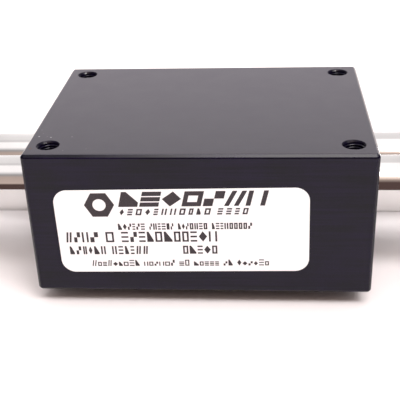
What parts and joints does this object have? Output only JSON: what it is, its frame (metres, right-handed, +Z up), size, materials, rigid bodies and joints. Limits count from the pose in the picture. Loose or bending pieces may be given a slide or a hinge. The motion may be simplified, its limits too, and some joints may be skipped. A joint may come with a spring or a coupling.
{
  "type": "twin-shaft linear ball bushing slide",
  "caption": "Black anodised bearing block on recirculating ball bushings, sliding along two parallel polished steel shafts held by an end support at each end.",
  "frame": {"origin": "on the resting plane, under the middle of the slide", "axes": "+X along the shafts towards the right-hand end support, -Y towards the labelled front, +Z up"},
  "size_m": [0.3048, 0.0636, 0.0365],
  "materials": {
    "black_anodised": "fine matt black anodising over machined aluminium",
    "polished_steel": "hardened, ground and polished",
    "bearing_steel": "ground bearing steel",
    "label_film": null,
    "retainer_resin": "moulded dark resin",
    "seal_rubber": "smooth black nitrile",
    "spring_steel": "oiled dark spring steel",
    "black_oxide_steel": "black oxide"
  },
  "bodies": {
    "rail": {"front_shaft": "polished_steel", "rear_shaft": "polished_steel", "left_end_support": "black_anodised", "right_end_support": "black_anodised", "left_front_set_screw": "black_oxide_steel", "left_rear_set_screw": "black_oxide_steel", "right_front_set_screw": "black_oxide_steel", "right_rear_set_screw": "black_oxide_steel"},
    "carriage": {"carriage_block": "black_anodised", "carriage_label": "label_film", "front_bushing_spacer": "retainer_resin", "front_left_ball_retainer": "retainer_resin", "front_left_ball_row_1": "bearing_steel", "front_left_ball_row_2": "bearing_steel", "front_left_ball_row_3": "bearing_steel", "front_left_ball_row_4": "bearing_steel", "front_left_bushing_sleeve": "bearing_steel", "front_left_retaining_ring": "spring_steel", "front_left_wiper_seal": "seal_rubber", "front_right_ball_retainer": "retainer_resin", "front_right_ball_row_1": "bearing_steel", "front_right_ball_row_2": "bearing_steel", "front_right_ball_row_3": "bearing_steel", "front_right_ball_row_4": "bearing_steel", "front_right_bushing_sleeve": "bearing_steel", "front_right_retaining_ring": "spring_steel", "front_right_wiper_seal": "seal_rubber", "rear_bushing_spacer": "retainer_resin", "rear_left_ball_retainer": "retainer_resin", "rear_left_ball_row_1": "bearing_steel", "rear_left_ball_row_2": "bearing_steel", "rear_left_ball_row_3": "bearing_steel", "rear_left_ball_row_4": "bearing_steel", "rear_left_bushing_sleeve": "bearing_steel", "rear_left_retaining_ring": "spring_steel", "rear_left_wiper_seal": "seal_rubber", "rear_right_ball_retainer": "retainer_resin", "rear_right_ball_row_1": "bearing_steel", "rear_right_ball_row_2": "bearing_steel", "rear_right_ball_row_3": "bearing_steel", "rear_right_ball_row_4": "bearing_steel", "rear_right_bushing_sleeve": "bearing_steel", "rear_right_retaining_ring": "spring_steel", "rear_right_wiper_seal": "seal_rubber"}
  },
  "joints": [
    {"name": "carriage_slide", "type": "slide", "parent": "rail", "child": "carriage", "axis": [1, 0, 0], "range_m": [-0.096, 0.096]}
  ]
}
